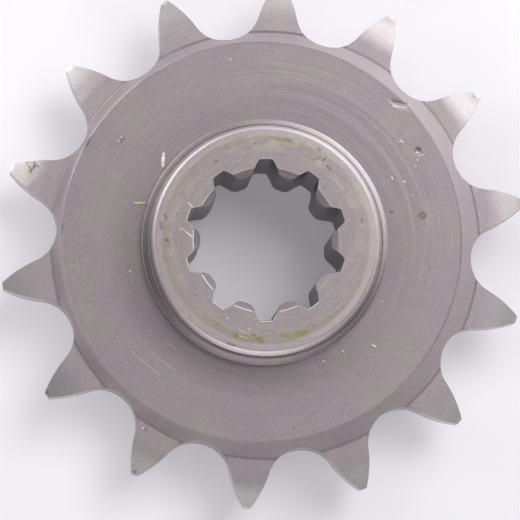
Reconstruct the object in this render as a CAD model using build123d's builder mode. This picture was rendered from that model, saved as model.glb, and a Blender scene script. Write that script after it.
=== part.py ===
"""Chain sprocket for a splined shaft: one steel piece with a hub, a plate and a rim of roller chain teeth."""

from build123d import *

import os
from math import acos, atan2, cos, degrees, hypot, pi, radians, sin, tan

# All lengths are in millimetres and all angles in degrees.
# The axis is Z, the back end of the hub is at z = 0 and the hub face looks towards +Z.

# Chain and teeth
chain_pitch = 15.875
roller_diameter = 10.16
tooth_count = 14
tooth_width = 5.8
tip_radius = 39.0
roller_play = 0.19
seat_angle = 125.0
flank_radius = 18.0
gap_turn = 22.2

# Side relief that leads the plates of the chain over the teeth
relief_start_radius = 34.0
relief_depth = 0.9

# Plate and the sloping band round it, with the small run-out of its turned edges
plate_radius = 29.5
band_foot_radius = 31.6
band_height = 2.2
plate_edge_shift = (-0.5, 0.19)
band_foot_shift = (0.25, -0.08)

# Hub in front of the plate
front_hub_height = 3.8
hub_radius = 17.0
hub_chamfer_width = 0.65
hub_chamfer_height = 1.1
face_bevel_width = 1.15
face_bevel_drop = 0.06

# Rounded collar at the foot of the front hub, with a narrow groove between the two
collar_width = 0.8
collar_height = 1.9
collar_rounding = 0.4
collar_groove_width = 0.25
collar_groove_depth = 0.7

# Hub behind the plate
back_hub_height = 5.0
back_hub_radius = 17.0
back_hub_chamfer = 0.8
back_hub_foot_bevel = 0.8

# Involute spline of the bore
spline_count = 10
spline_module = 25.4 / 12
spline_pressure_angle = 30.0
spline_land_height = 0.98
spline_groove_depth = 1.26
spline_turn = 90.0
land_rounding = 0.7
land_chamfer_width = 1.05
land_chamfer_angle = 40.0

# Dent across the edge of the plate: the mark of a thin round bar that struck it from outside
dent_bar_radius = 0.6
dent_start_depth = 0.12
dent_slope = 3.0
dent_inset = 1.35
dent_length = 4.0
dent_place_angle = 47.4
dent_direction = -7.2

# Pits in the front of the plate: distance from the axis, angle round it and radius of each one
plate_pits = ((26.4, 31.1, 0.55), (26.0, 144.3, 0.33))
pit_depth = 0.25
pit_floor_share = 0.3

# How far a cut runs past the surface that it leaves
cut_margin = 1.0

# How closely an edge or a corner matches the size that it is picked by
pick_tolerance = 0.01

# Levels along the axis
plate_back_z = back_hub_height
tooth_back_z = plate_back_z + band_height
tooth_front_z = tooth_back_z + tooth_width
plate_front_z = tooth_front_z + band_height
collar_top_z = plate_front_z + collar_height
hub_face_z = plate_front_z + front_hub_height

# The collar stands round the hub, just outside the groove.
collar_inner_radius = hub_radius + collar_groove_width
collar_radius = collar_inner_radius + collar_width

# The spline's circles: the lands reach in from its pitch circle and the grooves reach out
spline_pitch_radius = spline_module * spline_count / 2
spline_minor_radius = spline_pitch_radius - spline_land_height
spline_major_radius = spline_pitch_radius + spline_groove_depth

# The roller's seat: an arc a little larger than the roller, on the root circle
pitch_radius = chain_pitch / 2 / sin(pi / tooth_count)
root_radius = pitch_radius - roller_diameter / 2
seat_radius = roller_diameter / 2 + roller_play
seat_centre_x = root_radius + seat_radius

# The flank: an arc that bulges away from the gap and leaves the seat tangentially
flank_centre_x = seat_centre_x - (seat_radius + flank_radius) * cos(radians(seat_angle / 2))
flank_centre_y = (seat_radius + flank_radius) * sin(radians(seat_angle / 2))
flank_centre_radius = hypot(flank_centre_x, flank_centre_y)
flank_start_angle = -seat_angle / 2

# The flank arc runs on to the circle that the cut reaches, past the tips.
cut_radius = tip_radius + cut_margin
flank_end_cosine = (flank_centre_radius**2 + flank_radius**2 - cut_radius**2) / (
    2 * flank_centre_radius * flank_radius
)
flank_end_angle = degrees(acos(flank_end_cosine) + atan2(flank_centre_y, flank_centre_x)) - 180
flank_sweep = flank_end_angle - flank_start_angle


def involute(pressure):
    """The involute function of a pressure angle in radians."""
    return tan(pressure) - pressure


def ring_edges(part, radius, level):
    """The circular edges of this radius at this height."""
    rings = part.edges().filter_by(GeomType.CIRCLE)
    rings = rings.filter_by(lambda edge: abs(edge.radius - radius) < pick_tolerance)
    return rings.filter_by(lambda edge: abs(edge.center().Z - level) < pick_tolerance)


def groove_flank_point(radius, side):
    """Point at this radius on one involute flank of a spline groove that lies along +X."""
    base_radius = spline_pitch_radius * cos(radians(spline_pressure_angle))
    half_space_at_pitch = pi / 2 / spline_count
    turned_in = involute(acos(base_radius / radius)) - involute(radians(spline_pressure_angle))
    half_space = half_space_at_pitch - turned_in
    return (radius * cos(half_space), side * radius * sin(half_space))


# One tooth gap along +X, closed beyond the tips
with BuildSketch() as tooth_gap:
    with BuildLine():
        seat = CenterArc((seat_centre_x, 0), seat_radius, 180 - seat_angle / 2, seat_angle)
        left = CenterArc((flank_centre_x, flank_centre_y), flank_radius, flank_start_angle, flank_sweep)
        right = CenterArc((flank_centre_x, -flank_centre_y), flank_radius, -flank_start_angle, -flank_sweep)
        ThreePointArc(left @ 1, (cut_radius, 0), right @ 1)
    make_face()

# One spline groove along +X, with flanks as arcs through three points of the involute
groove_radii = (spline_minor_radius, (spline_minor_radius + spline_major_radius) / 2, spline_major_radius)
with BuildSketch() as spline_groove:
    with BuildLine():
        upper = ThreePointArc([groove_flank_point(radius, 1) for radius in groove_radii])
        lower = ThreePointArc([groove_flank_point(radius, -1) for radius in groove_radii])
        ThreePointArc(upper @ 1, (spline_major_radius, 0), lower @ 1)
        Polyline(upper @ 0, (0, 0), lower @ 0)
    make_face()

with BuildPart() as sprocket:
    # The rim that the teeth are cut from, with its side relief
    with BuildSketch(Plane.XZ):
        with BuildLine():
            Polyline(
                (relief_start_radius, tooth_front_z),
                (0, tooth_front_z),
                (0, tooth_back_z),
                (relief_start_radius, tooth_back_z),
            )
            back_relief = TangentArc(
                (relief_start_radius, tooth_back_z),
                (tip_radius, tooth_back_z + relief_depth),
                tangent=(1, 0),
            )
            front_relief = TangentArc(
                (relief_start_radius, tooth_front_z),
                (tip_radius, tooth_front_z - relief_depth),
                tangent=(1, 0),
            )
            Line(back_relief @ 1, front_relief @ 1)
        make_face()
    revolve(axis=Axis.Z)

    # The sloping band and the plate in front, whose edges run slightly out of true
    with BuildSketch(Plane.XY.offset(tooth_front_z)):
        with Locations(band_foot_shift):
            Circle(band_foot_radius)
    with BuildSketch(Plane.XY.offset(plate_front_z)):
        with Locations(plate_edge_shift):
            Circle(plate_radius)
    loft(ruled=True)

    # The back of the plate, the back hub, the front hub and its collar
    with BuildSketch(Plane.XZ):
        with BuildLine():
            Polyline(
                (0, 0),
                (back_hub_radius - back_hub_chamfer, 0),
                (back_hub_radius, back_hub_chamfer),
                (back_hub_radius, plate_back_z - back_hub_foot_bevel),
                (back_hub_radius + back_hub_foot_bevel, plate_back_z),
                (plate_radius, plate_back_z),
                (band_foot_radius, tooth_back_z),
                (collar_radius, tooth_back_z),
                (collar_radius, collar_top_z),
                (collar_inner_radius, collar_top_z),
                (collar_inner_radius, collar_top_z - collar_groove_depth),
                (hub_radius, collar_top_z - collar_groove_depth),
                (hub_radius, hub_face_z - hub_chamfer_height),
                (hub_radius - hub_chamfer_width, hub_face_z - face_bevel_drop),
                (hub_radius - hub_chamfer_width - face_bevel_width, hub_face_z),
                (0, hub_face_z),
                close=True,
            )
        make_face()
    revolve(axis=Axis.Z)
    fillet(ring_edges(sprocket, collar_radius, collar_top_z), radius=collar_rounding)

    # The tooth gaps
    with BuildSketch(Plane.XY.offset(plate_back_z - cut_margin)):
        with PolarLocations(0, tooth_count, start_angle=gap_turn):
            add(tooth_gap.sketch)
    extrude(amount=plate_front_z - plate_back_z + 2 * cut_margin, mode=Mode.SUBTRACT)

    # The splined bore
    with BuildSketch(Plane.XY.offset(-cut_margin)) as spline_bore:
        with PolarLocations(0, 1, start_angle=spline_turn):
            Circle(spline_minor_radius)
        with PolarLocations(0, spline_count, start_angle=spline_turn):
            add(spline_groove.sketch)
        land_corners = spline_bore.vertices().filter_by(
            lambda corner: hypot(corner.X, corner.Y) < spline_minor_radius + pick_tolerance
        )
        fillet(land_corners, radius=land_rounding)
    extrude(amount=hub_face_z + 2 * cut_margin, mode=Mode.SUBTRACT)

    # The lead-in chamfers on the ends of the spline's lands
    chamfer_radius = spline_minor_radius + land_chamfer_width
    chamfer_height = land_chamfer_width / tan(radians(land_chamfer_angle))
    for face_z, inwards in ((0, 1), (hub_face_z, -1)):
        with BuildSketch(Plane.XZ):
            with BuildLine():
                Polyline(
                    (0, face_z),
                    (chamfer_radius, face_z),
                    (0, face_z + inwards * chamfer_height * chamfer_radius / land_chamfer_width),
                    close=True,
                )
            make_face()
        revolve(axis=Axis.Z, mode=Mode.SUBTRACT)

    # The dent, which deepens outwards
    dent_start = Vector(plate_radius - dent_inset, 0, plate_front_z + dent_bar_radius - dent_start_depth)
    dent_axis = Vector(1, 0, 0).rotate(Axis.Y, dent_slope).rotate(Axis.Z, dent_direction)
    with BuildSketch(Plane(dent_start.rotate(Axis.Z, dent_place_angle), z_dir=dent_axis)):
        Circle(dent_bar_radius)
    extrude(amount=dent_length, mode=Mode.SUBTRACT)

    # The pits, as shallow cones with a flat floor
    for distance, angle, radius in plate_pits:
        with Locations(Vector(distance, 0, plate_front_z).rotate(Axis.Z, angle)):
            Cone(
                bottom_radius=radius * pit_floor_share,
                top_radius=radius,
                height=pit_depth,
                align=(Align.CENTER, Align.CENTER, Align.MAX),
                mode=Mode.SUBTRACT,
            )

sprocket.part.label = "sprocket"
os.makedirs("parts", exist_ok=True)
export_step(sprocket.part, "parts/sprocket.step")
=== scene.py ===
"""Looks of the chain sprocket: its finished steel body, the marks on it, floor, light and camera."""
from math import acos, atan2, cos, hypot, pi, radians, sin, tan

import bpy
import numpy as np
from mathutils import Matrix, Vector


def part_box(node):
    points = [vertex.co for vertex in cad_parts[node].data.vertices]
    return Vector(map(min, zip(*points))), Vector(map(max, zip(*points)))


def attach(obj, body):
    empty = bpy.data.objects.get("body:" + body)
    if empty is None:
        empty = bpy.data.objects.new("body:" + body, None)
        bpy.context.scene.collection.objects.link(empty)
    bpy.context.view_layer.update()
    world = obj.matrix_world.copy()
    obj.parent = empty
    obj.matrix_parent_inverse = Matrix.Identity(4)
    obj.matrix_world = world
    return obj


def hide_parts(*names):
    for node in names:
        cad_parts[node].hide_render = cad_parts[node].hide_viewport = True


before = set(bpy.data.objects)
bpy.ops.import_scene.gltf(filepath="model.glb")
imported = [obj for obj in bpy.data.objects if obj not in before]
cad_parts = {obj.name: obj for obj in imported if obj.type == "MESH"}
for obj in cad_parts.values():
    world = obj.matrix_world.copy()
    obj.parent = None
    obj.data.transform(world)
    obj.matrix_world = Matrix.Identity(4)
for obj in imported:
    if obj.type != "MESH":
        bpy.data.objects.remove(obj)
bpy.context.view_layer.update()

MM = 0.001

# The camera looks almost straight down, a little from the lower left of the picture.
PICTURE_PIXELS = 520
FOCAL_PIXELS = 4562
SENSOR_MM = 36
CAMERA_TILT = radians(6.06)
CAMERA_AZIMUTH = radians(242)
CAMERA_DISTANCE = 667 * MM
HUB_FACE_CENTRE = Vector((0, 0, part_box("sprocket")[1].z))
HUB_FACE_OFFSET_RIGHT = 0.892 * MM
HUB_FACE_OFFSET_UP = 2.953 * MM

# The sprocket's sizes in millimetres and radians. They are the solid's, but the spline's lands are rounder
# here, and the small corners and broken edges are only here.
TOOTH_COUNT = 14
PITCH_RADIUS = 15.875 / 2 / sin(pi / TOOTH_COUNT)
ROLLER_RADIUS = 10.16 / 2
SEAT_RADIUS = ROLLER_RADIUS + 0.19
SEAT_CENTRE = PITCH_RADIUS - ROLLER_RADIUS + SEAT_RADIUS
SEAT_ANGLE = radians(125)
FLANK_RADIUS = 18.0
TIP_RADIUS = 39.0
TIP_CORNER = 0.12
GAP_TURN = radians(22.2)
RELIEF_START = 34.0
RELIEF_DEPTH = 0.9
PLATE_RADIUS = 29.5
BAND_FOOT_RADIUS = 31.6
PLATE_EDGE_SHIFT = (-0.5, 0.19)
BAND_FOOT_SHIFT = (0.25, -0.08)
HUB_RADIUS = 17.0
HUB_CHAMFER_WIDTH = 0.65
HUB_CHAMFER_HEIGHT = 1.1
FACE_BEVEL_WIDTH = 1.15
FACE_BEVEL_DROP = 0.06
GROOVE_WIDTH = 0.25
GROOVE_DEPTH = 0.7
COLLAR_RADIUS = 18.05
COLLAR_ROUNDING = 0.4
BACK_HUB_RADIUS = 17.0
BACK_CHAMFER = 0.8
BACK_FOOT_BEVEL = 0.8
SPLINE_COUNT = 10
SPLINE_MODULE = 25.4 / 12
SPLINE_PRESSURE = radians(30)
SPLINE_TURN = radians(90)
MINOR_RADIUS = 9.6
MAJOR_RADIUS = 11.84
SPLINE_ROOT_CORNER = 0.12
LAND_ROUNDING = 1.4
CHAMFER_RADIUS = MINOR_RADIUS + 1.05
LAND_CHAMFER_ANGLE = radians(40)
EDGE_BREAK = 0.09
EDGE_STEP = 0.05

# Heights of its levels above the floor
PLATE_BACK_Z = 5.0
TOOTH_BACK_Z = 7.2
TOOTH_FRONT_Z = 13.0
PLATE_Z = 15.2
COLLAR_TOP_Z = 17.1
HUB_FACE_Z = 19.0
CHAMFER_FOOT_Z = HUB_FACE_Z - HUB_CHAMFER_HEIGHT

# The dent across the edge of the plate, and the pits: distance from the axis, angle, radius and depth
DENT_BAR_RADIUS = 0.6
DENT_START_DEPTH = 0.12
DENT_SLOPE = radians(3)
DENT_INSET = 1.35
DENT_LENGTH = 4.0
DENT_PLACE = radians(47.4)
DENT_DIRECTION = radians(-7.2)
PITS = (
    (26.4, radians(31.1), 0.55, 0.25),
    (26.0, radians(144.3), 0.33, 0.25),
)

# Bright chips on the plate: where each starts and ends, and its width
PLATE_CHIPS = (
    ((-14.92, 12.9), (-15.02, 11.2), 0.62),
    ((18.71, 9.8), (18.86, 9.4), 0.2),
    ((20.42, 9.2), (20.8, 8.95), 0.18),
    ((22.56, 12.5), (22.56, 12.15), 0.15),
    ((22.3, 11.5), (22.26, 11.2), 0.16),
    ((8.6, -17.44), (8.62, -17.44), 0.3),
    ((11.3, -15.84), (11.57, -16.1), 0.19),
    ((15.81, -15.09), (16.3, -15.31), 0.2),
    ((-21.1, 15.4), (-21.1, 15.36), 0.26),
)
CHIP_ROUGHENING = 0.09
CHIP_GRAIN = 0.35
CURLED_CHIP_HALF_WIDTH = 0.1
CURLED_CHIP = ((19.6, 14.92), (19.85, 14.84), (20.0, 14.98), (20.15, 15.14), (20.28, 15.1), (20.36, 14.86))

# The splinter that leans on the collar, and the grime on one tooth: places and half widths along strands
SPLINTER = (
    ((-19.4, 5.72, 0.05), (-19.0, 5.66, 0.2), (-18.6, 5.68, 0.19), (-17.95, 5.7, 0.12), (-17.45, 5.72, 0.1)),
    ((-19.3, 5.5, 0.06), (-18.9, 5.5, 0.14), (-18.4, 5.56, 0.1), (-18.0, 5.62, 0.05)),
    ((-18.9, 5.45, 0.1), (-18.86, 5.3, 0.08), (-18.84, 5.14, 0.04)),
)
TOOTH_GRIME = (
    (
        (-33.95, 12.1, 0.06), (-33.8, 11.7, 0.14), (-34.0, 11.2, 0.16),
        (-34.3, 10.9, 0.15), (-34.45, 10.5, 0.1),
    ),
    ((-34.45, 10.6, 0.08), (-34.53, 10.3, 0.07), (-34.5, 10.05, 0.04)),
    ((-34.95, 11.55, 0.05), (-34.7, 11.3, 0.1), (-34.35, 11.0, 0.12)),
    ((-33.75, 11.55, 0.08), (-33.45, 11.4, 0.09), (-33.2, 11.22, 0.05)),
    ((-34.9, 10.5, 0.04), (-34.65, 10.55, 0.07), (-34.4, 10.65, 0.06)),
)

# The floor: its paper, the white that the camera sees on it, and how much of that white doesn't depend on the
# light that falls on it
FLOOR_PAPER = (0.925, 0.908, 0.945, 1)
FLOOR_WHITE = (0.98, 0.935, 1, 1)
FLOOR_GLOW = 0.2
FLOOR_HALF_SIDE = 3.0

# Soft lamps: name, azimuth and angle from the vertical in degrees, side in metres, power in watts, and
# whether the steel reflects them
SOFTBOX_DISTANCE = 1.0
SOFTBOXES = (
    ("key", 47, 30, 0.5, 3.93, True),
    ("fill", 145, 36, 0.5, 0.74, True),
    ("top", 0, 8, 0.5, 0.56, True),
    ("low_key", 50, 80, 0.8, 10.0, True),
    ("low_left", 135, 80, 0.8, 11.8, True),
    ("low_front", 262, 80, 0.8, 1.3, True),
    ("low_right", 340, 80, 0.8, 2.0, True),
    ("rim_front", 240, 60, 0.8, 4.2, False),
    ("rim_right", 330, 60, 0.8, 1.8, False),
)

# Colours, as they render in plain light
PLATE_GREY = (0.206, 0.174, 0.191, 1)
WARM_GREY = (0.199, 0.185, 0.177, 1)
PALE_GREY = (0.201, 0.186, 0.189, 1)
HUB_FACE_GREY = (0.202, 0.175, 0.183, 1)
BORE_BROWN = (0.15, 0.122, 0.135, 1)
STAIN = (0.25, 0.21, 0.1, 1)
DARK_STAIN = (0.13, 0.1, 0.04, 1)
HAZE = (0.31, 0.3, 0.25, 1)
DIRT_AND_SHADE = (0.07, 0.058, 0.053, 1)
BARE_METAL_AND_GLINT = (0.66, 0.62, 0.63, 1)
CHIP_SHADE = (0.42, 0.38, 0.39, 1)
STRAW = (0.52, 0.43, 0.33, 1)
STRAW_SHADE = (0.3, 0.23, 0.15, 1)
GRIME = (0.4, 0.35, 0.24, 1)
GRIME_SHADE = (0.16, 0.12, 0.08, 1)

# How bright each zone is against the plate, and how that changes towards some azimuths, as the photograph
# shows it: azimuth in degrees, how narrow the change is, and its amount. The changes by azimuth are
# painted highlights and painted shade
TONES = {
    "face": (1.06, ()),
    "chamfer": (1.85, ((265, 6, 1.9), (195, 8, -0.75), (330, 4, -0.45), (42, 1.5, 0.95), (160, 8, 0.5))),
    # The groove's raised tone, most towards 50°, is painted light where its depth shades it
    "groove": (1.9, ((50, 1.5, 3.1), (165, 6, 0.5), (322, 4, -1.2))),
    "collar": (
        0.58,
        ((45, 2.5, 1.6), (135, 6, 0.35), (262, 5, 0.75), (20, 6, 0.3), (195, 6, -0.25), (315, 6, -0.1)),
    ),
    "band": (1.2, ((30, 1.5, 0.32),)),
    "tooth_face": (1.22, ((285, 0.8, -0.16),)),
    "tooth_wall": (1.3, ()),
    "land_chamfer": (1.25, ()),
    # The bore's walls are darker: partly their unground steel, partly painted shade
    "bore_wall": (0.6, ()),
}

# Tones of the same kind that are added to a zone's own: a painted highlight along the hub face's edge, and
# painted light on the collar's shaded outer wall; their changes by azimuth are painted highlights and shade
# too
ADDED_TONES = {
    "outer_face": (0.25, ((45, 2, -0.15), (262, 2, 0.08))),
    "face_edge": (0.65, ((8, 16, 0.45), (48, 12, -0.35), (326, 5, -0.85))),
    "collar_wall": (1.0, ((155, 8, 1.6), (10, 8, 0.5))),
}

# What is added to the tone towards the tips of the teeth, as painted highlights where their fall-back sides
# face the lamps: from and to which radius it rises, and the tone
TIP_TONES = (
    (33.4, 34.8, (0, ((48, 12, 0.45), (148, 12, 0.6)))),
    (34.5, 37.5, (0.36, ((203, 4, -0.4), (256, 12, 0.35), (344, 14, -0.25)))),
    (35.4, 36.6, (0, ((45, 14, -0.32),))),
    (35.4, 37.4, (0, ((145, 10, 0.52), (262, 8, 0.3)))),
    (36.4, 38.4, (0, ((0, 10, 0.3),))),
)

# How strong the oily stain round the hub face is, and the pale haze beside it
STAIN_STRENGTH = (0.25, ((255, 0.7, 0.6), (272, 6, 0.45), (92, 2, 0.55), (180, 6, 0.35)))
HAZE_STRENGTH = (0.2, ((50, 2, 1.0), (175, 2, 0.5)))

# Dark marks, among them painted shade on the shaded walls of the dent and of the pit at 31°: where each
# starts and ends, its half width and its strength
DARK_MARKS = (
    ((7.62, 13.56), (7.9, 13.3), 0.2, 0.5),
    ((8.62, 12.9), (8.75, 12.3), 0.14, 0.35),
    ((7.3, 11.95), (7.7, 12.1), 0.18, 0.45),
    ((8.3, 11.75), (8.75, 12.0), 0.18, 0.6),
    ((8.95, 10.9), (9.5, 10.3), 0.2, 0.45),
    ((2.78, 14.86), (3.6, 14.6), 0.3, 0.35),
    ((-14.79, 3.57), (-14.6, 3.1), 0.25, 0.5),
    ((-15.4, 2.4), (-15.3, 1.6), 0.3, 0.45),
    ((-14.6, -0.1), (-14.4, -0.2), 0.28, 0.6),
    ((-3.0, -13.75), (-1.5, -14.0), 0.1, 0.6),
    ((-5.6, -15.2), (-4.6, -15.5), 0.2, 0.45),
    ((18.77, 4.58), (18.55, 4.62), 0.22, 0.75),
    ((-16.91, 15.27), (-16.4, 15.97), 0.13, 0.3),
    ((-21.25, 14.75), (-21.15, 14.7), 0.22, 0.5),
    ((22.5, 14.25), (22.95, 13.95), 0.2, 0.5),
    ((18.9, 21.1), (21.1, 20.72), 0.13, 0.6),
    ((18.75, 21.0), (18.78, 20.6), 0.12, 0.35),
    ((-19.1, -24.8), (-18.95, -26.4), 0.1, 0.6),
    ((-19.09, -33.7), (-18.9, -33.6), 0.3, 0.45),
    ((-32.03, -22.14), (-31.9, -22.0), 0.28, 0.4),
    ((-35.09, 11.89), (-34.7, 12.0), 0.2, 0.4),
    ((14.1, 3.1), (14.0, 2.65), 0.22, 0.5),
)

# Bright scratches and burrs, and painted highlights on the lit slopes of the dent and of the pit at 31°:
# where each starts and ends, its half width and its strength
BRIGHT_MARKS = (
    ((-11.34, 5.41), (-10.67, 4.63), 0.1, 0.7),
    ((-11.55, 2.88), (-10.67, 1.96), 0.08, 0.6),
    ((-11.7, 1.1), (-10.87, 0.4), 0.11, 0.8),
    ((-12.52, 1.79), (-11.7, 1.1), 0.07, 0.5),
    ((-4.0, -13.2), (-2.4, -13.9), 0.07, 0.45),
    ((-3.9, -14.1), (-2.7, -14.4), 0.07, 0.4),
    ((-2.6, -13.2), (-2.2, -12.9), 0.09, 0.5),
    ((-12.6, -11.2), (-11.6, -11.0), 0.08, 0.4),
    ((22.45, 13.6), (22.75, 13.3), 0.15, 0.6),
    ((22.74, 12.97), (23.53, 13.16), 0.07, 0.5),
    ((18.96, 20.34), (21.0, 20.13), 0.12, 0.35),
    ((-19.64, -16.08), (-15.4, -19.6), 0.06, 0.28),
    ((-15.81, -16.96), (-13.17, -18.9), 0.05, 0.3),
    ((-14.65, -14.46), (-13.1, -15.9), 0.05, 0.25),
)

# Dark and bright spots: place, half width and strength
DARK_SPOTS = (
    ((-7.34, 11.55), 0.35, 0.5),
    ((12.35, -16.87), 0.16, 0.55),
    ((14.89, -16.95), 0.14, 0.5),
    ((16.46, -13.53), 0.13, 0.45),
    ((13.78, -19.49), 0.15, 0.5),
    ((-17.34, -27.51), 0.2, 0.75),
    ((37.23, 4.63), 0.24, 0.7),
    ((31.21, 22.2), 0.2, 0.5),
)
BRIGHT_SPOTS = (
    ((-19.37, -24.61), 0.16, 0.8),
    ((-17.79, -27.21), 0.15, 0.8),
)

# How rough the noise of turned and ground lines is
LINE_ROUGHNESS = 0.65

# The middle of the arcs that the hub face was ground along
GRINDING_CENTRE = (2.1, -0.1)

# The middle of the whitish end of one tooth, a painted highlight
HIGHLIT_TIP_CENTRE = (-38.3, 13.0)

# The dark ring left by a drop on the plate
RING_SPOT = (23.27, 4.08)


class Value:
    """An output of a node, which Python's operators work on."""

    def __init__(self, tree, socket):
        self.tree = tree
        self.socket = socket

    def other(self, name):
        """Another output of the same node."""
        return Value(self.tree, self.socket.node.outputs[name])

    def math(self, operation, *others):
        return self.tree.math(operation, self, *others)

    def __add__(self, other):
        return self.tree.math("ADD", self, other)

    def __sub__(self, other):
        return self.tree.math("SUBTRACT", self, other)

    def __mul__(self, other):
        return self.tree.math("MULTIPLY", self, other)

    def __truediv__(self, other):
        return self.tree.math("DIVIDE", self, other)

    def __pow__(self, other):
        return self.tree.math("POWER", self, other)

    def __radd__(self, other):
        return self.tree.math("ADD", other, self)

    def __rsub__(self, other):
        return self.tree.math("SUBTRACT", other, self)

    def __rmul__(self, other):
        return self.tree.math("MULTIPLY", other, self)


class Tree:
    """A node tree, cleared and filled by Python expressions."""

    def __init__(self, node_tree):
        self.nodes = node_tree.nodes
        self.links = node_tree.links
        self.nodes.clear()

    def node(self, kind, settings=None, inputs=None, output=0):
        """Makes one node: its settings first, then values or links for its sockets."""
        made = self.nodes.new(kind)
        for name, setting in (settings or {}).items():
            setattr(made, name, setting)
        for name, given in (inputs or {}).items():
            if isinstance(given, Value):
                self.links.new(given.socket, made.inputs[name])
            else:
                made.inputs[name].default_value = given
        return Value(self, made.outputs[output])

    def finish(self, kind, result, socket="Surface"):
        """Ends the tree in its output node."""
        self.links.new(result.socket, self.nodes.new(kind).inputs[socket])

    def math(self, operation, *terms):
        return self.node("ShaderNodeMath", {"operation": operation}, dict(enumerate(terms)))

    def rise(self, value, low, high):
        """0 below low, 1 above high and smooth between them."""
        return self.node(
            "ShaderNodeMapRange",
            {"interpolation_type": "SMOOTHSTEP"},
            {"Value": value, "From Min": low, "From Max": high},
        )

    def between(self, value, low, high, soft):
        """1 from low to high, with soft sides."""
        return self.rise(value, low - soft, low + soft) * (1 - self.rise(value, high - soft, high + soft))

    def vector(self, x, y, z):
        return self.node("ShaderNodeCombineXYZ", inputs={"X": x, "Y": y, "Z": z})

    def noise(self, place, scale, detail, roughness):
        return self.node(
            "ShaderNodeTexNoise",
            inputs={"Vector": place, "Scale": scale, "Detail": detail, "Roughness": roughness},
        )

    def tint(self, amount, under, over):
        """One colour laid over another by an amount from 0 to 1."""
        return self.node(
            "ShaderNodeMix",
            {"data_type": "RGBA"},
            {"Factor": amount, 6: under, 7: over},
            output=2,
        )

    def scaled(self, colour, factor):
        """A colour or a vector, times a factor."""
        return self.node("ShaderNodeVectorMath", {"operation": "SCALE"}, {0: colour, "Scale": factor})

    def attribute(self, name):
        return self.node("ShaderNodeAttribute", {"attribute_name": name}, output="Fac")

    def off_centre(self, x, y, centre):
        """Distance from a place that lies off the axis."""
        return ((x - centre[0]) ** 2 + (y - centre[1]) ** 2) ** 0.5

    def seen(self):
        """1 to the camera, to reflections and to what shines through, and 0 to all other light."""
        path = self.node("ShaderNodeLightPath", output="Is Camera Ray")
        return (path + path.other("Is Glossy Ray") + path.other("Is Transmission Ray")).math("MINIMUM", 1.0)


def shader_tree(owner):
    """The empty shader tree of a material or a world."""
    owner.use_nodes = True
    return Tree(owner.node_tree)


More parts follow.
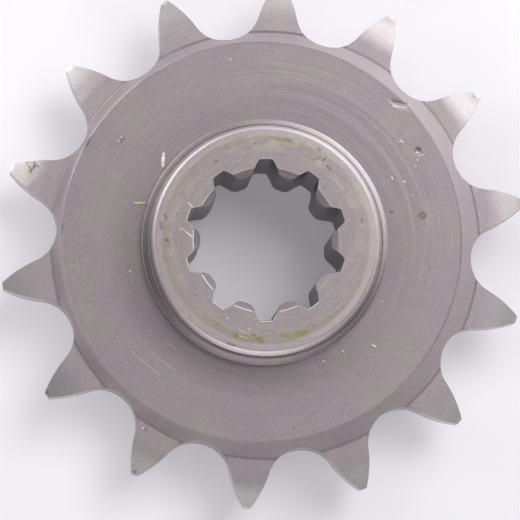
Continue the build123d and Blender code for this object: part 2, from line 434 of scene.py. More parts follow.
def steel():
    """The sprocket's steel, with its turned, ground, stained and worn zones placed by radius and height."""
    material = bpy.data.materials.new("sprocket_steel")
    tree = shader_tree(material)
    place = tree.node("ShaderNodeTexCoord", output="Object")
    split = tree.node("ShaderNodeSeparateXYZ", inputs={0: place})
    x, y, z = (split.other(axis) / MM for axis in "XYZ")
    radius = (x * x + y * y) ** 0.5
    bore_gap = tree.attribute("bore_gap")
    outline_gap = tree.attribute("outline_gap")

    def towards(azimuth, sharpness):
        """1 on the ray at this azimuth in degrees, falling to nothing a quarter turn away from it."""
        facing = (x * cos(radians(azimuth)) + y * sin(radians(azimuth))) / radius
        return facing.math("MAXIMUM", 0.0) ** sharpness

    def by_azimuth(tone):
        """A level and its changes towards some azimuths."""
        level, changes = tone
        for azimuth, sharpness, amount in changes:
            level = level + amount * towards(azimuth, sharpness)
        return level

    def turned_lines(turns, lines, detail):
        """Noise drawn out round the axis, as a lathe leaves it."""
        drawn_out = tree.vector(x / radius * turns, y / radius * turns, radius * lines)
        return tree.noise(drawn_out, 1.0, detail, LINE_ROUGHNESS)

    def ground_lines(turns, lines, detail):
        """Noise drawn out along wide arcs, as a grinding wheel leaves it."""
        reach = tree.off_centre(x, y, GRINDING_CENTRE)
        from_x, from_y = (x - GRINDING_CENTRE[0]) / reach, (y - GRINDING_CENTRE[1]) / reach
        drawn_out = tree.vector(from_x * turns, from_y * turns, reach * lines)
        return tree.noise(drawn_out, 1.0, detail, LINE_ROUGHNESS)

    def mark(start, end, half_width):
        """1 on a straight mark or a spot, with a soft side."""
        run_x, run_y = end[0] - start[0], end[1] - start[1]
        from_x, from_y = x - start[0], y - start[1]
        if start != end:
            share = (from_x * run_x + from_y * run_y) / (run_x**2 + run_y**2)
            share = share.math("MAXIMUM", 0.0).math("MINIMUM", 1.0)
            from_x, from_y = from_x - share * run_x, from_y - share * run_y
        return 1 - tree.rise((from_x * from_x + from_y * from_y) ** 0.5, 0.4 * half_width, 1.3 * half_width)

    def strongest(amount, marks, spots):
        """An amount, raised to the strongest mark or spot at each place."""
        as_marks = tuple((centre, centre, half_width, strength) for centre, half_width, strength in spots)
        for start, end, half_width, strength in marks + as_marks:
            amount = amount.math("MAXIMUM", mark(start, end, half_width) * strength)
        return amount

    # Grain
    fine_turning = turned_lines(1.3, 3.6, 4.0)
    tool_lines = tree.rise(turned_lines(1.0, 2.3, 2.0), 0.44, 0.6)
    broad_turning = turned_lines(0.8, 0.9, 3.0)
    grinding = ground_lines(2.4, 3.2, 4.0)
    chamfer_marks = turned_lines(1.2, 6.0, 2.0)
    grain = tree.noise(place, 3800.0, 3.0, 0.7)
    clouds = tree.noise(place, 170.0, 3.0, 0.55)
    blotches = tree.noise(place, 420.0, 3.0, 0.6)

    # Zones
    wall_of_bore = 1 - tree.rise(bore_gap, 0.01, 0.08)
    near_bore = 1 - tree.rise(radius, 12.0, 12.3)
    face = tree.rise(z, HUB_FACE_Z - 0.15, HUB_FACE_Z - 0.1)
    land_chamfer = near_bore * (1 - face) * (1 - wall_of_bore)
    outer_face = face * tree.rise(radius, 15.1, 15.4)
    chamfer = tree.between(z, CHAMFER_FOOT_Z, HUB_FACE_Z - 0.12, 0.03) * (1 - near_bore)
    face_edge = tree.between(radius, 16.27, 16.42, 0.04) * tree.rise(z, HUB_FACE_Z - 0.4, HUB_FACE_Z - 0.3)
    below_chamfer = 1 - tree.rise(z, CHAMFER_FOOT_Z - 0.06, CHAMFER_FOOT_Z)
    in_front = tree.rise(z, PLATE_Z - 0.3, PLATE_Z - 0.2)
    collar_start = HUB_RADIUS + GROOVE_WIDTH
    groove = tree.between(radius, HUB_RADIUS - 0.04, collar_start, 0.03) * below_chamfer * in_front
    groove *= 1 - tree.rise(z, COLLAR_TOP_Z - 0.08, COLLAR_TOP_Z - 0.02)
    above_plate = tree.rise(z, PLATE_Z + 0.03, PLATE_Z + 0.1)
    collar = tree.rise(radius, collar_start, collar_start + 0.04) * above_plate
    collar_wall = collar * tree.rise(radius, COLLAR_RADIUS - 0.07, COLLAR_RADIUS - 0.01)
    plate = tree.rise(radius, 18.05, 18.2) * in_front * (1 - above_plate)
    band = tree.between(z, TOOTH_FRONT_Z + 0.08, PLATE_Z - 0.08, 0.04) * tree.rise(radius, 28, 28.3)
    tooth_face = tree.rise(radius, 30, 31) * (1 - tree.rise(z, TOOTH_FRONT_Z + 0.02, TOOTH_FRONT_Z + 0.1))
    tooth_wall = (1 - tree.rise(outline_gap, 0.005, 0.05)) * tree.rise(radius, 29, 30)
    tip_highlight = 1 - tree.rise(tree.off_centre(x, y, HIGHLIT_TIP_CENTRE) + (blotches - 0.5) * 1.2, 5.4, 6.0)
    foot_gap = tree.off_centre(x, y, BAND_FOOT_SHIFT) - BAND_FOOT_RADIUS
    edge_gap = tree.off_centre(x, y, PLATE_EDGE_SHIFT) - PLATE_RADIUS

    # Where the turning lines show more strongly, towards 45° and 258°: partly real turning, partly a painted
    # sheen
    turning_and_sheen = plate * (0.2 + 0.7 * towards(45, 2) + 0.5 * towards(258, 2))

    # Brightness of each zone
    zone_tone = {name: by_azimuth(tone) for name, tone in (TONES | ADDED_TONES).items()}
    chamfer_foot = 1 - tree.rise(z, HUB_FACE_Z - 0.75, HUB_FACE_Z - 0.45)
    foot_shade = chamfer_foot * 0.42 * (1 - towards(265, 3)) * (1 - 0.7 * towards(45, 2))
    # Lighter tooth tips: painted highlights
    tip_tone = 0.4 * tip_highlight
    for start, end, added in TIP_TONES:
        tip_tone += tree.rise(radius, start, end) * by_azimuth(added)
    # The teeth's walls lighter towards the tips: a painted highlight; darker along their back edge: painted
    # shade
    tooth_wall_tone = zone_tone["tooth_wall"] + 0.9 * tree.rise(radius, 31.0, 35.0)
    tooth_wall_tone *= 0.45 + 0.55 * tree.rise(z, TOOTH_BACK_Z + 0.7, TOOTH_BACK_Z + 1.2)
    # Zone tones: their changes by azimuth, the hub face edge's line and the collar wall's lift are painted
    # light and shade
    tone = 1 + face * (zone_tone["face"] - 1) + outer_face * zone_tone["outer_face"]
    tone += chamfer * (zone_tone["chamfer"] * (1 - foot_shade) - 1) + face_edge * zone_tone["face_edge"]
    tone += groove * (zone_tone["groove"] - 1)
    tone += collar * (zone_tone["collar"] + collar_wall * zone_tone["collar_wall"] - 1)
    tone += band * (zone_tone["band"] - 1) + tooth_wall * (tooth_wall_tone - 1)
    tone += tooth_face * (1 - tooth_wall) * (zone_tone["tooth_face"] + tip_tone - 1)
    tone += land_chamfer * (zone_tone["land_chamfer"] - 1)
    # Darker bore walls: partly unground steel, partly painted shade
    tone *= 1 + wall_of_bore * (zone_tone["bore_wall"] - 1)
    # The plate darker near the hub, and most towards 236°: painted shadow of the hub and collar
    tone *= 1 - plate * (1 - tree.rise(radius, 17.0, 26.0)) * 0.12
    tone *= 1 - plate * (1 - tree.rise(radius, 18.0, 24.0)) * towards(236, 1.2) * 0.36
    # Turning and tool lines, stronger towards some azimuths as a painted sheen
    tone *= 1 + (fine_turning - 0.5) * (0.1 + turning_and_sheen * 0.4) * (1 - face)
    tone *= 1 + (tool_lines - 0.5) * 0.17 * plate * towards(42, 1.5) * tree.between(radius, 20.3, 26.8, 1.0)
    tone *= 1 + (broad_turning - 0.5) * 0.08 * plate
    tone *= 1 + (grinding - 0.5) * 0.5 * face
    tone *= 1 + (chamfer_marks - 0.5) * 0.9 * land_chamfer
    tone *= 1 + (grain - 0.5) * 0.75
    tone *= 1 + (clouds - 0.5) * 0.12 + (blotches - 0.5) * 0.14

    # Creases and edges
    # Painted shade in the crease at the band's foot, strongest towards 60°
    crease_shade = tree.between(foot_gap, -0.14, 0.26, 0.06) * (1 - tooth_wall)
    tone *= 1 - crease_shade * (0.16 + 0.34 * towards(60, 1))
    # Painted highlight along the plate's edge towards 235°, and painted shade over its glint towards 42°
    plate_edge = tree.between(edge_gap, -0.16, 0.14, 0.08)
    tone *= 1 + plate_edge * (0.28 * towards(235, 0.6) - 0.3 * towards(42, 2))
    # A painted highlight along the teeth's edges, broken up at random by lighter and darker patches
    tooth_edge_glint = tree.between(outline_gap, 0.03, 0.12, 0.05) * tooth_face
    tone *= 1 + tooth_edge_glint * (0.15 + (blotches - 0.5) * 1.2)

    bare = tree.tint(face, PLATE_GREY, HUB_FACE_GREY)
    bare = tree.tint((clouds - 0.36) * 2.2, bare, WARM_GREY)
    pale = (0.5 * chamfer + tooth_face * tree.rise(radius, 34, 36)).math("MINIMUM", 1.0)
    bare = tree.tint(pale, bare, PALE_GREY)
    bare = tree.tint(wall_of_bore, bare, BORE_BROWN)
    colour = tree.scaled(bare, tone)

    # The oily stain round the hub face, and the pale haze beside it
    ring_wander = turned_lines(2.6, 0.2, 3.0) - 0.5
    stain_start = 14.55 - 0.4 * towards(250, 2)
    stained_ring = tree.between(radius + ring_wander * 2.4, stain_start, 15.05, 0.3) * face
    stain_breaks = tree.rise(turned_lines(9.0, 1.3, 4.0), 0.34, 0.56)
    stain_breaks *= 0.3 + 0.7 * tree.rise(blotches, 0.42, 0.56)
    stain = (stained_ring * stain_breaks * by_azimuth(STAIN_STRENGTH)).math("MINIMUM", 1.0)
    haze = face * tree.between(radius, 13.2, 15.6, 0.7) * tree.rise(blotches, 0.42, 0.6)
    haze *= by_azimuth(HAZE_STRENGTH)
    colour = tree.tint(haze * 0.45, colour, HAZE)
    colour = tree.tint(stain * 0.9, colour, STAIN)
    stain_spots = stain * tree.rise(grain * 0.5 + blotches * 0.5, 0.5, 0.58)
    colour = tree.tint(stain_spots * 0.7, colour, DARK_STAIN)

    # Specks, and the single marks that show from a step away
    cells = tree.node("ShaderNodeTexVoronoi", inputs={"Vector": place, "Scale": 700.0}, output="Distance")
    speckled = 0.07 + 0.24 * tree.between(radius, 12.6, 15.4, 0.5) * face
    picks = tree.node("ShaderNodeSeparateColor", inputs={0: cells.other("Color")})
    specks = 1 - tree.rise(cells + (grain - 0.5) * 0.25, 0.06, 0.16)
    specks *= tree.rise(picks + speckled, 1.0, 1.02)
    sparkles = (1 - tree.rise(cells, 0.05, 0.12)) * tree.rise(picks.other("Green"), 0.93, 0.94)
    ring_spot = tree.between(tree.off_centre(x, y, RING_SPOT), 0.16, 0.56, 0.16) * (0.6 + 0.8 * blotches)
    dark = strongest((specks * 0.5).math("MAXIMUM", ring_spot * 0.65), DARK_MARKS, DARK_SPOTS)
    # Dirt and specks, and painted shade in the dent and a pit
    colour = tree.tint(dark, colour, DIRT_AND_SHADE)
    # Painted highlights along the rims of the lands and the bore's mouth, strongest towards 225°
    land_rim_glint = tree.between(radius, CHAMFER_RADIUS - 0.08, CHAMFER_RADIUS + 0.09, 0.04) * face
    land_rim_glint *= tree.rise(bore_gap, 0.45, 0.7) * (0.25 + 0.9 * towards(225, 0.5))
    mouth_rim_glint = tree.between(bore_gap, 0.05, 0.18, 0.05) * face * (0.2 + 0.7 * towards(225, 0.5))
    bright = land_rim_glint.math("MAXIMUM", mouth_rim_glint).math("MAXIMUM", sparkles * 0.7)
    bright = strongest(bright, BRIGHT_MARKS, BRIGHT_SPOTS)
    colour = tree.tint(bright * 0.8, colour, BARE_METAL_AND_GLINT)

    # Relief, and how the steel reflects
    height = (fine_turning - 0.5) * (0.25 + turning_and_sheen * 0.5) + (grain - 0.5) * 0.3
    height += ((grinding - 0.5) * face + chamfer_marks * (chamfer + land_chamfer)) * 0.3
    bump = tree.node("ShaderNodeBump", inputs={"Strength": 1.0, "Distance": 0.015 * MM, "Height": height})
    bright_cut = (chamfer + collar + face_edge + land_chamfer).math("MINIMUM", 1.0)
    metallic = 0.55 - 0.2 * bright_cut - 0.35 * stain - 0.3 * band
    roughness = 0.36 + (clouds - 0.5) * 0.12 + 0.08 * bright_cut + 0.2 * stain + 0.2 * band
    shader = tree.node(
        "ShaderNodeBsdfPrincipled",
        inputs={"Base Color": colour, "Metallic": metallic, "Roughness": roughness, "Normal": bump},
    )
    tree.finish("ShaderNodeOutputMaterial", shader)
    return material


def turned_to_pitch(half_angle, half_radius, count, turn):
    """The outline of one half pitch, mirrored and repeated round the axis, in order of angle."""
    angle = np.concatenate([-half_angle[:0:-1], half_angle[:-1]])
    radius = np.concatenate([half_radius[:0:-1], half_radius[:-1]])
    angle = np.concatenate([angle + turn + 2 * pi * step / count for step in range(count)]) % (2 * pi)
    radius = np.tile(radius, count)
    order = np.argsort(angle)
    return angle[order], radius[order]


def arc(centre, radius, start, end, steps):
    """Points along an arc, as angles and distances seen from the sprocket's axis."""
    sweep = np.linspace(start, end, steps + 1)
    x = centre[0] + radius * np.cos(sweep)
    y = centre[1] + radius * np.sin(sweep)
    return np.arctan2(y, x), np.hypot(x, y)


def tooth_outline():
    """Angle and radius of the toothed outline at each column of the body's mesh."""
    half_seat = SEAT_ANGLE / 2
    seat = arc((SEAT_CENTRE, 0), SEAT_RADIUS, pi, pi - half_seat, 10)
    flank_centre = (
        SEAT_CENTRE - (SEAT_RADIUS + FLANK_RADIUS) * cos(half_seat),
        (SEAT_RADIUS + FLANK_RADIUS) * sin(half_seat),
    )
    reach = hypot(*flank_centre)
    end_radius = TIP_RADIUS - TIP_CORNER
    end_cosine = (reach**2 + FLANK_RADIUS**2 - end_radius**2) / (2 * reach * FLANK_RADIUS)
    flank_end = acos(end_cosine) + atan2(flank_centre[1], flank_centre[0]) - pi
    flank = arc(flank_centre, FLANK_RADIUS, -half_seat, flank_end, 11)
    land = np.linspace(flank[0][-1] + TIP_CORNER / TIP_RADIUS, pi / TOOTH_COUNT, 4)
    angle = np.concatenate([seat[0], flank[0][1:], land])
    radius = np.concatenate([seat[1], flank[1][1:], np.full(4, TIP_RADIUS)])
    return turned_to_pitch(angle, radius, TOOTH_COUNT, GAP_TURN)


def involute(pressure):
    return np.tan(pressure) - pressure


def spline_outline():
    """Angle and radius of the splined bore at each column of the body's mesh."""
    pitch = SPLINE_MODULE * SPLINE_COUNT / 2
    base = pitch * cos(SPLINE_PRESSURE)

    def flank_angle(radius):
        return pi / 2 / SPLINE_COUNT + involute(SPLINE_PRESSURE) - involute(np.arccos(base / radius))

    # The rounding's centre: as far from the flank as from the land
    trial_radius = np.linspace(MINOR_RADIUS, MAJOR_RADIUS, 400)
    trial = trial_radius * np.exp(1j * flank_angle(trial_radius))
    bearings = np.linspace(flank_angle(MINOR_RADIUS), pi / SPLINE_COUNT, 400)
    centres = (MINOR_RADIUS + LAND_ROUNDING) * np.exp(1j * bearings)
    misfit = np.abs(np.min(np.abs(trial[:, None] - centres), axis=0) - LAND_ROUNDING)
    centre = centres[np.argmin(misfit)]
    touch = trial_radius[np.argmin(np.abs(trial - centre))]

    flank_radius = np.linspace(MAJOR_RADIUS - SPLINE_ROOT_CORNER, touch, 12)
    flank = flank_angle(flank_radius)
    touch_point = touch * np.exp(1j * flank_angle(touch))
    start = np.angle(touch_point - centre) % (2 * pi)
    end = np.angle(-centre) % (2 * pi)
    rounding = arc((centre.real, centre.imag), LAND_ROUNDING, start, end, 10)
    root = np.linspace(0, flank[0] - SPLINE_ROOT_CORNER / MAJOR_RADIUS, 8)
    land = np.linspace(rounding[0][-1], pi / SPLINE_COUNT, 7)[1:]
    angle = np.concatenate([root, flank, rounding[0][1:], land])
    ends = np.full(len(root), MAJOR_RADIUS), np.full(len(land), MINOR_RADIUS)
    radius = np.concatenate([ends[0], flank_radius, rounding[1][1:], ends[1]])
    return turned_to_pitch(angle, radius, SPLINE_COUNT, SPLINE_TURN)


def shifted_circle(radius, shift, angle):
    """Distance from the axis, at each angle, of a circle whose centre lies a little off the axis."""
    along = shift[0] * np.cos(angle) + shift[1] * np.sin(angle)
    return along + np.sqrt(radius**2 - shift[0] ** 2 - shift[1] ** 2 + along**2)


def dent_height(x, y):
    """The lower side of the round bar that left the dent, and nothing where it didn't reach."""
    start_x = (PLATE_RADIUS - DENT_INSET) * cos(DENT_PLACE)
    start_y = (PLATE_RADIUS - DENT_INSET) * sin(DENT_PLACE)
    along = (x - start_x) * cos(DENT_DIRECTION) + (y - start_y) * sin(DENT_DIRECTION)
    across = (y - start_y) * cos(DENT_DIRECTION) - (x - start_x) * sin(DENT_DIRECTION)
    across = np.hypot(across, np.minimum(along, 0))
    axis = PLATE_Z + DENT_BAR_RADIUS - DENT_START_DEPTH - np.maximum(along, 0) * tan(DENT_SLOPE)
    hit = (across < DENT_BAR_RADIUS) & (along < DENT_LENGTH)
    return np.where(hit, axis - np.sqrt(np.maximum(DENT_BAR_RADIUS**2 - across**2, 0)), np.inf)


def pit_height(x, y):
    """The floor of each pit in the plate, and nothing elsewhere."""
    height = np.full(x.shape, np.inf)
    for distance, angle, size, depth in PITS:
        away = np.hypot(x - distance * cos(angle), y - distance * sin(angle))
        bowl = PLATE_Z - depth * np.clip(1.4 * (1 - away / size), 0, 1)
        height = np.where(away < size, np.minimum(height, bowl), height)
    return height


def body_rings():
    """The closed section of the body as rings: radius and height of each column, and the share of its
    angle that is the teeth's and not the spline's."""
    bore_angle, bore = spline_outline()
    rim_angle, rim = tooth_outline()
    plate_edge = shifted_circle(PLATE_RADIUS, PLATE_EDGE_SHIFT, rim_angle)
    band_foot = shifted_circle(BAND_FOOT_RADIUS, BAND_FOOT_SHIFT, rim_angle)
    rings = []

    def ring(radius, height, share):
        rings.append((radius + 0 * rim, height + 0 * rim, share))

    # Up the bore, then over the chamfer of the lands
    chamfer_rise = np.maximum(CHAMFER_RADIUS - bore, 0) / tan(LAND_CHAMFER_ANGLE)
    chamfer_rise = np.maximum(chamfer_rise, EDGE_BREAK)
    mouth = np.maximum(bore + EDGE_BREAK, CHAMFER_RADIUS)
    for share in np.linspace(0, 1, 6):
        ring(bore, chamfer_rise + share * (HUB_FACE_Z - 2 * chamfer_rise), 0)
    ring((bore + mouth) / 2, HUB_FACE_Z - chamfer_rise / 2, 0)
    ring(mouth, HUB_FACE_Z, 0)

    # Out over the hub face, its chamfer, the groove and the collar
    face_edge = HUB_RADIUS - HUB_CHAMFER_WIDTH
    for share in (0.03, 0.3, 0.6):
        ring(mouth + share * (face_edge - FACE_BEVEL_WIDTH - mouth), HUB_FACE_Z, 0)
    hub_profile = [
        (face_edge - FACE_BEVEL_WIDTH, HUB_FACE_Z),
        (face_edge - 2.5 * EDGE_BREAK, HUB_FACE_Z - FACE_BEVEL_DROP + 0.02),
        (face_edge - EDGE_BREAK, HUB_FACE_Z - FACE_BEVEL_DROP + 0.01),
        (face_edge + 0.4 * EDGE_BREAK, HUB_FACE_Z - FACE_BEVEL_DROP - 0.6 * EDGE_BREAK),
        (HUB_RADIUS - 0.5 * EDGE_BREAK, HUB_FACE_Z - HUB_CHAMFER_HEIGHT + 0.7 * EDGE_BREAK),
        (HUB_RADIUS, HUB_FACE_Z - HUB_CHAMFER_HEIGHT - 0.5 * EDGE_BREAK),
        (HUB_RADIUS, COLLAR_TOP_Z - GROOVE_DEPTH),
        (HUB_RADIUS + GROOVE_WIDTH, COLLAR_TOP_Z - GROOVE_DEPTH),
        (HUB_RADIUS + GROOVE_WIDTH, COLLAR_TOP_Z - 0.5 * EDGE_BREAK),
        (HUB_RADIUS + GROOVE_WIDTH + 0.5 * EDGE_BREAK, COLLAR_TOP_Z),
    ]
    for turn in np.linspace(0, pi / 2, 5):
        hub_profile.append(
            (
                COLLAR_RADIUS - COLLAR_ROUNDING * (1 - sin(turn)),
                COLLAR_TOP_Z - COLLAR_ROUNDING * (1 - cos(turn)),
            )
        )
    hub_profile.append((COLLAR_RADIUS, PLATE_Z + EDGE_BREAK))
    for radius, height in hub_profile:
        ring(radius, height, 0)

    # Across the plate, with close rings where it is dented and pitted
    inner = COLLAR_RADIUS + EDGE_BREAK
    coarse = np.linspace(0, 0.62, 8)
    fine = np.linspace(0.62, 1, 28)[1:-1]
    for share in np.concatenate([coarse, fine]):
        ring(inner + share * (plate_edge - inner), PLATE_Z, min(share / 0.5, 1))

    # Down the band and out over the teeth, each ring held inside the outline
    front = []
    slope = (PLATE_Z - TOOTH_FRONT_Z) / (band_foot - plate_edge)
    nominal = [plate_edge - EDGE_BREAK, plate_edge + EDGE_BREAK]
    nominal += [plate_edge + share * (band_foot - plate_edge) for share in (0.3, 0.55, 0.8)]
    nominal += [band_foot - EDGE_BREAK, band_foot + EDGE_BREAK, band_foot + 3 * EDGE_BREAK]
    nominal += [radius + 0 * rim for radius in (32.6, 33.4, RELIEF_START, 35.2, 36.4, 37.4, 38.2, TIP_RADIUS)]
    for order, radius in enumerate(nominal):
        kept = np.minimum(radius, rim - EDGE_BREAK - EDGE_STEP * (len(nominal) - 1 - order))
        height = np.where(
            kept < plate_edge,
            PLATE_Z,
            np.where(kept < band_foot, PLATE_Z - slope * (kept - plate_edge), TOOTH_FRONT_Z),
        )
        ring(kept, height - relief(kept), 1)
    front_edge = height - relief(kept) - EDGE_BREAK
    back_slope = (TOOTH_BACK_Z - PLATE_BACK_Z) / (BAND_FOOT_RADIUS - PLATE_RADIUS)

    def back_height(radius):
        on_band = PLATE_BACK_Z + back_slope * np.maximum(radius - PLATE_RADIUS, 0)
        return np.minimum(on_band, TOOTH_BACK_Z) + relief(radius)

    # Down the walls of the teeth
    back_edge = back_height(rim) + EDGE_BREAK
    for share in np.linspace(0, 1, 6):
        ring(rim, front_edge + share * (back_edge - front_edge), 1)

    # Back in under the teeth, the band and the plate
    nominal = [TIP_RADIUS, 38.2, 37.2, 35.8, RELIEF_START, 32.8, BAND_FOOT_RADIUS, 30.8, 30.0, PLATE_RADIUS]
    for order, radius in enumerate(nominal):
        kept = np.minimum(radius, rim - EDGE_BREAK - EDGE_STEP * order)
        ring(kept, back_height(kept), 1)
    foot = BACK_HUB_RADIUS + BACK_FOOT_BEVEL
    for share in np.linspace(0, 1, 8)[1:]:
        ring(PLATE_RADIUS + share * (foot - PLATE_RADIUS), PLATE_BACK_Z, 1 - share)
    ring(BACK_HUB_RADIUS, PLATE_BACK_Z - BACK_FOOT_BEVEL, 0)
    ring(BACK_HUB_RADIUS, BACK_CHAMFER, 0)
    ring(BACK_HUB_RADIUS - BACK_CHAMFER, 0, 0)
    for share in (0.3, 0.65, 1):
        outer = BACK_HUB_RADIUS - BACK_CHAMFER
        ring(outer + share * (mouth - outer), 0, 0)
    ring((bore + mouth) / 2, chamfer_rise / 2, 0)
    return rings, bore_angle, bore, rim_angle, rim


def relief(radius):
    """How far the side of a tooth falls back at this radius, along its arc."""
    reach = TIP_RADIUS - RELIEF_START
    arc_radius = (reach**2 + RELIEF_DEPTH**2) / (2 * RELIEF_DEPTH)
    past = np.clip(radius - RELIEF_START, 0, reach)
    return arc_radius - np.sqrt(arc_radius**2 - past**2)


def finished_body():
    """The sprocket at full finish: one closed skin of rings, with broken edges, the dent and the pits."""
    rings, bore_angle, bore, rim_angle, rim = body_rings()
    columns = len(rim)
    radius = np.array([ring[0] for ring in rings])
    height = np.array([ring[1] for ring in rings])
    share = np.array([ring[2] for ring in rings])[:, None]
    angle = bore_angle * (1 - share) + rim_angle * share
    x = radius * np.cos(angle)
    y = radius * np.sin(angle)
    height = np.minimum(height, np.minimum(dent_height(x, y), pit_height(x, y)))

    mesh = bpy.data.meshes.new("sprocket_body")
    points = np.stack([x, y, height], axis=-1).reshape(-1, 3) * MM
    row = np.arange(len(rings))[:, None] * columns
    column = np.arange(columns)[None, :]
    next_row = np.roll(row, -1, axis=0)
    next_column = np.roll(column, -1, axis=1)
    corners = [row + column, next_row + column, next_row + next_column, row + next_column]
    faces = np.stack(corners, axis=-1).reshape(-1, 4)
    mesh.from_pydata(points.tolist(), [], faces.tolist())
    for name, gap in (("outline_gap", rim - radius), ("bore_gap", radius - bore)):
        attribute = mesh.attributes.new(name, "FLOAT", "POINT")
        attribute.data.foreach_set("value", gap.ravel().astype(np.float32))
    mesh.shade_smooth()
    mesh.set_sharp_from_angle(angle=radians(35))
    mesh.materials.append(steel())
    body = bpy.data.objects.new("sprocket_body", mesh)
    bpy.context.scene.collection.objects.link(body)
    normals = body.modifiers.new("flat_faces_stay_flat", "WEIGHTED_NORMAL")
    normals.keep_sharp = True
    normals.weight = 100
    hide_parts("sprocket")
    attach(body, "root")
    return body


def loose_material(name, light, dark, metallic, grain_size):
    """Broken two-tone finish of the small loose pieces."""
    material = bpy.data.materials.new(name)
    tree = shader_tree(material)
    place = tree.node("ShaderNodeTexCoord", output="Object")
    patches = tree.noise(place, 1 / (grain_size * MM), 3.0, 0.6)
    colour = tree.tint(tree.rise(patches, 0.4, 0.62), light, dark)
    bump = tree.node("ShaderNodeBump", inputs={"Strength": 0.6, "Distance": 0.03 * MM, "Height": patches})
    roughness = 0.35 + patches * 0.3
    shader = tree.node(
        "ShaderNodeBsdfPrincipled",
        inputs={"Base Color": colour, "Metallic": metallic, "Roughness": roughness, "Normal": bump},
    )
    tree.finish("ShaderNodeOutputMaterial", shader)
    return material


def plain_mesh(name, maker):
    """A finished mesh object from one that is still made by a curve or a modifier, which it removes."""
    bpy.context.view_layer.update()
    mesh = bpy.data.meshes.new_from_object(maker.evaluated_get(bpy.context.evaluated_depsgraph_get()))
    mesh.name = name
    bpy.data.objects.remove(maker)
    mesh.shade_smooth()
    piece = bpy.data.objects.new(name, mesh)
    bpy.context.scene.collection.objects.link(piece)
    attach(piece, "root")
    return piece


def chip_tree():
    """Geometry nodes that put one rough body on each point, turned and sized by the point's attributes."""
    group = bpy.data.node_groups.new("chips", "GeometryNodeTree")
    sockets = {}
    kinds = {"Places": "Geometry", "Roughening": "Float", "Grain": "Float", "Finish": "Material"}
    for name, kind in kinds.items():
        made = group.interface.new_socket(name, in_out="INPUT", socket_type="NodeSocket" + kind)
        sockets[name] = made.identifier
    group.interface.new_socket("Chips", in_out="OUTPUT", socket_type="NodeSocketGeometry")
    tree = Tree(group)
    given = tree.node("NodeGroupInput", output="Places")
    body = tree.node("GeometryNodeMeshIcoSphere", inputs={"Radius": 0.5, "Subdivisions": 4})
    turn, size = (
        tree.node("GeometryNodeInputNamedAttribute", {"data_type": "FLOAT_VECTOR"}, {"Name": name})
        for name in ("turn", "size")
    )
    placed = tree.node(
        "GeometryNodeInstanceOnPoints",
        inputs={"Points": given, "Instance": body, "Rotation": turn, "Scale": size},
    )
    real = tree.node("GeometryNodeRealizeInstances", inputs={"Geometry": placed})
    position = tree.node("GeometryNodeInputPosition")
    noise = tree.node(
        "ShaderNodeTexNoise",
        inputs={"Vector": position, "Scale": given.other("Grain"), "Detail": 2.0},
        output="Color",
    )
    centred = tree.node("ShaderNodeVectorMath", {"operation": "SUBTRACT"}, {0: noise, 1: (0.5, 0.5, 0.5)})
    push = tree.scaled(centred, given.other("Roughening"))
    rough = tree.node("GeometryNodeSetPosition", inputs={"Geometry": real, "Offset": push})
    finish = given.other("Finish")
    finished = tree.node("GeometryNodeSetMaterial", inputs={"Geometry": rough, "Material": finish})
    tree.finish("NodeGroupOutput", finished, "Chips")
    return group, sockets


def chips(name, places, height, material):
    """Small metal chips that lie on a face: each is a start, an end and a width."""
    group, sockets = chip_tree()
    points, turns, sizes = [], [], []
    for start, end, width in places:
        run_x, run_y = end[0] - start[0], end[1] - start[1]
        middle = (start[0] + run_x / 2, start[1] + run_y / 2, height + 0.3 * width)
        points.append([MM * value for value in middle])
        turns.append((0, 0, atan2(run_y, run_x)))
        sizes.append([MM * value for value in (hypot(run_x, run_y) + width, width, 0.7 * width)])
    mesh = bpy.data.meshes.new(name + "_places")
    mesh.from_pydata(points, [], [])
    for attribute, values in (("turn", turns), ("size", sizes)):
        made = mesh.attributes.new(attribute, "FLOAT_VECTOR", "POINT")
        made.data.foreach_set("vector", np.array(values, np.float32).ravel())
    maker = bpy.data.objects.new(name + "_places", mesh)
    bpy.context.scene.collection.objects.link(maker)
    modifier = maker.modifiers.new("chips", "NODES")
    modifier.node_group = group
    modifier[sockets["Roughening"]] = CHIP_ROUGHENING * MM
    modifier[sockets["Grain"]] = 1 / (CHIP_GRAIN * MM)
    modifier[sockets["Finish"]] = material
    return plain_mesh(name, maker)


def strands(name, paths, material):
    """Thin tapering strands that lie on a face, each a list of places and half widths."""
    curve = bpy.data.curves.new(name + "_paths", "CURVE")
    curve.dimensions = "3D"
    curve.bevel_depth = MM
    curve.bevel_resolution = 3
    curve.use_fill_caps = True
    for path in paths:
        spline = curve.splines.new("NURBS")
        spline.points.add(len(path) - 1)
        for point, (x, y, z, half_width) in zip(spline.points, path):
            point.co = (x * MM, y * MM, z * MM, 1)
            point.radius = half_width
        spline.order_u = 3
        spline.use_endpoint_u = True
        spline.resolution_u = 8
    maker = bpy.data.objects.new(name + "_paths", curve)
    bpy.context.scene.collection.objects.link(maker)
    piece = plain_mesh(name, maker)
    piece.data.materials.clear()
    piece.data.materials.append(material)
    return piece


def loose_pieces():
    """The chips, the splinter and the grime that lie on the sprocket."""
    bright = loose_material("bright_chip", BARE_METAL_AND_GLINT, CHIP_SHADE, 0.3, 0.5)
    straw = loose_material("straw", STRAW, STRAW_SHADE, 0.0, 0.4)
    grime = loose_material("olive_grime", GRIME, GRIME_SHADE, 0.0, 0.3)
    chips("plate_chips", PLATE_CHIPS, PLATE_Z, bright)
    curl = [(x, y, PLATE_Z + 0.8 * CURLED_CHIP_HALF_WIDTH, CURLED_CHIP_HALF_WIDTH) for x, y in CURLED_CHIP]
    strands("curled_chip", [curl], bright)
    on_plate = [[(x, y, PLATE_Z + 0.8 * half, half) for x, y, half in path] for path in SPLINTER]
    strands("splinter", on_plate, straw)

    def on_tooth(path):
        places = [(x, y, TOOTH_FRONT_Z - relief(hypot(x, y)), half) for x, y, half in path]
        return [(x, y, z + 0.6 * half, half) for x, y, z, half in places]

    strands("tooth_grime", [on_tooth(path) for path in TOOTH_GRIME], grime)


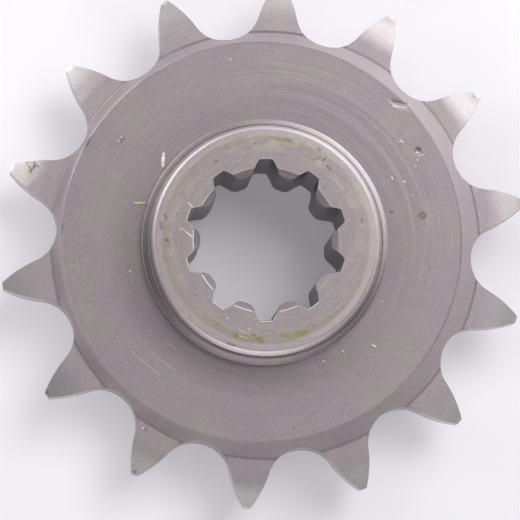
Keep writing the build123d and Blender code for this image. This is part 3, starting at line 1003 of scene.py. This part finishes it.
def floor():
    """A plain pale floor, which keeps the shadows and adds a little white of its own."""
    material = bpy.data.materials.new("floor_white")
    tree = shader_tree(material)
    paper = tree.node("ShaderNodeBsdfDiffuse", inputs={"Color": FLOOR_PAPER})
    glow = tree.node("ShaderNodeEmission", inputs={"Color": FLOOR_WHITE, "Strength": 1.0})
    shader = tree.node("ShaderNodeMixShader", inputs={0: tree.seen() * FLOOR_GLOW, 1: paper, 2: glow})
    tree.finish("ShaderNodeOutputMaterial", shader)
    mesh = bpy.data.meshes.new("floor")
    signs = ((-1, -1), (1, -1), (1, 1), (-1, 1))
    corners = [(across * FLOOR_HALF_SIDE, along * FLOOR_HALF_SIDE, 0) for across, along in signs]
    mesh.from_pydata(corners, [], [(0, 1, 2, 3)])
    mesh.materials.append(material)
    plane = bpy.data.objects.new("floor", mesh)
    bpy.context.scene.collection.objects.link(plane)


def studio_world():
    """White to the camera and to reflections, and dark to all other light."""
    world = bpy.data.worlds.new("studio")
    bpy.context.scene.world = world
    tree = shader_tree(world)
    background = tree.node("ShaderNodeBackground", inputs={"Strength": tree.seen()})
    tree.finish("ShaderNodeOutputWorld", background)


def direction(azimuth, from_vertical):
    """The unit vector towards an azimuth, leaning this far from the vertical."""
    level = sin(from_vertical)
    return Vector((level * cos(azimuth), level * sin(azimuth), cos(from_vertical)))


def softbox(name, azimuth, from_vertical, side, watts, reflected):
    """A square soft lamp that points at the middle of the sprocket."""
    away = direction(radians(azimuth), radians(from_vertical))
    lamp = bpy.data.lights.new(name + "_softbox", "AREA")
    lamp.shape = "SQUARE"
    lamp.size = side
    lamp.energy = watts
    box = bpy.data.objects.new(name + "_softbox", lamp)
    box.location = HUB_FACE_CENTRE / 2 + away * SOFTBOX_DISTANCE
    box.rotation_euler = (-away).to_track_quat("-Z", "Y").to_euler()
    box.visible_glossy = reflected
    bpy.context.scene.collection.objects.link(box)


def camera():
    """The photograph's view: the picture's right has no part along Y."""
    back = direction(CAMERA_AZIMUTH, CAMERA_TILT)
    right = Vector((back.z, 0, -back.x)).normalized()
    up = back.cross(right)
    target = HUB_FACE_CENTRE - right * HUB_FACE_OFFSET_RIGHT - up * HUB_FACE_OFFSET_UP
    data = bpy.data.cameras.new("camera")
    data.sensor_width = SENSOR_MM
    data.lens = SENSOR_MM * FOCAL_PIXELS / PICTURE_PIXELS
    data.clip_start = 0.01
    seat = bpy.data.objects.new("camera", data)
    turn = Matrix((right, up, back)).transposed().to_4x4()
    seat.matrix_world = Matrix.Translation(target + back * CAMERA_DISTANCE) @ turn
    bpy.context.scene.collection.objects.link(seat)
    bpy.context.scene.camera = seat


finished_body()
loose_pieces()
floor()
studio_world()
for lamp in SOFTBOXES:
    softbox(*lamp)
camera()

bpy.context.scene.view_settings.view_transform = "Standard"
